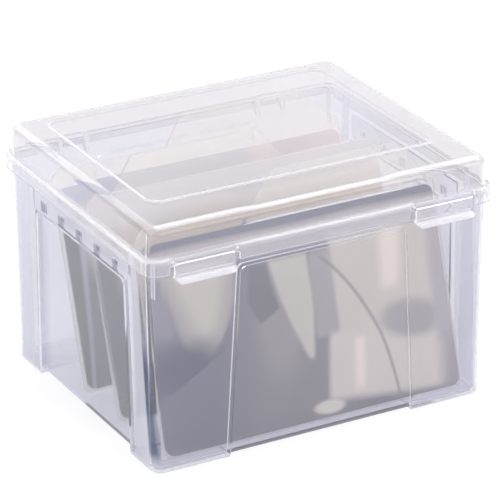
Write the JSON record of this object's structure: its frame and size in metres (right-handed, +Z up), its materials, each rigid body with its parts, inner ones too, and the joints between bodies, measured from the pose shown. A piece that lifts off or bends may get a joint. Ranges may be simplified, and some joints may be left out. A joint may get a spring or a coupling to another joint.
{
  "type": "photo keeper case",
  "caption": "Clear lidded case for photo cards, with a hinged domed lid, clip latches, corner-post tub and leaning tabbed dividers with glossy boards",
  "frame": {"origin": "under the middle of the case on the table plane", "axes": "+X right along the wide front, +Y to the hinge side, +Z up"},
  "size_m": [0.2696, 0.234, 0.1827],
  "materials": {
    "milky_tub": "milky translucent, satin",
    "clear_lid": "glass clear, polished",
    "latch": "clear with a slight haze",
    "divider_sheet": "clear, polished sheet",
    "glossy_board": "dark silvery film, high gloss"
  },
  "bodies": {
    "tub": {"tub": "milky_tub"},
    "lid": {"lid": "clear_lid"},
    "left_latch": {"left_latch": "latch"},
    "right_latch": {"right_latch": "latch"},
    "front_section": {"front_divider": "divider_sheet", "front_board": "glossy_board"},
    "middle_section": {"middle_divider": "divider_sheet", "middle_board": "glossy_board"},
    "rear_section": {"rear_divider": "divider_sheet", "rear_board": "glossy_board"}
  },
  "joints": [
    {"name": "lid_hinge", "type": "hinge", "parent": "tub", "child": "lid", "pos_m": [0, 0.11375, 0.1527], "axis": [-1, 0, 0], "range_deg": [0, 110]},
    {"name": "left_latch_pivot", "type": "hinge", "parent": "lid", "child": "left_latch", "pos_m": [-0.09235, -0.11125, 0.1561], "axis": [-1, 0, 0], "range_deg": [0, 105]},
    {"name": "right_latch_pivot", "type": "hinge", "parent": "lid", "child": "right_latch", "pos_m": [0.09235, -0.11125, 0.1561], "axis": [-1, 0, 0], "range_deg": [0, 105]},
    {"name": "front_divider_tilt", "type": "hinge", "parent": "tub", "child": "front_section", "pos_m": [0, -0.09784, 0.00465], "axis": [-1, 0, 0], "range_deg": [-2, 13]},
    {"name": "middle_divider_tilt", "type": "hinge", "parent": "tub", "child": "middle_section", "pos_m": [0, -0.03387, 0.00465], "axis": [-1, 0, 0], "range_deg": [-5, 6]},
    {"name": "rear_divider_tilt", "type": "hinge", "parent": "tub", "child": "rear_section", "pos_m": [0, 0.01812, 0.00465], "axis": [-1, 0, 0], "range_deg": [-4, 7]}
  ]
}
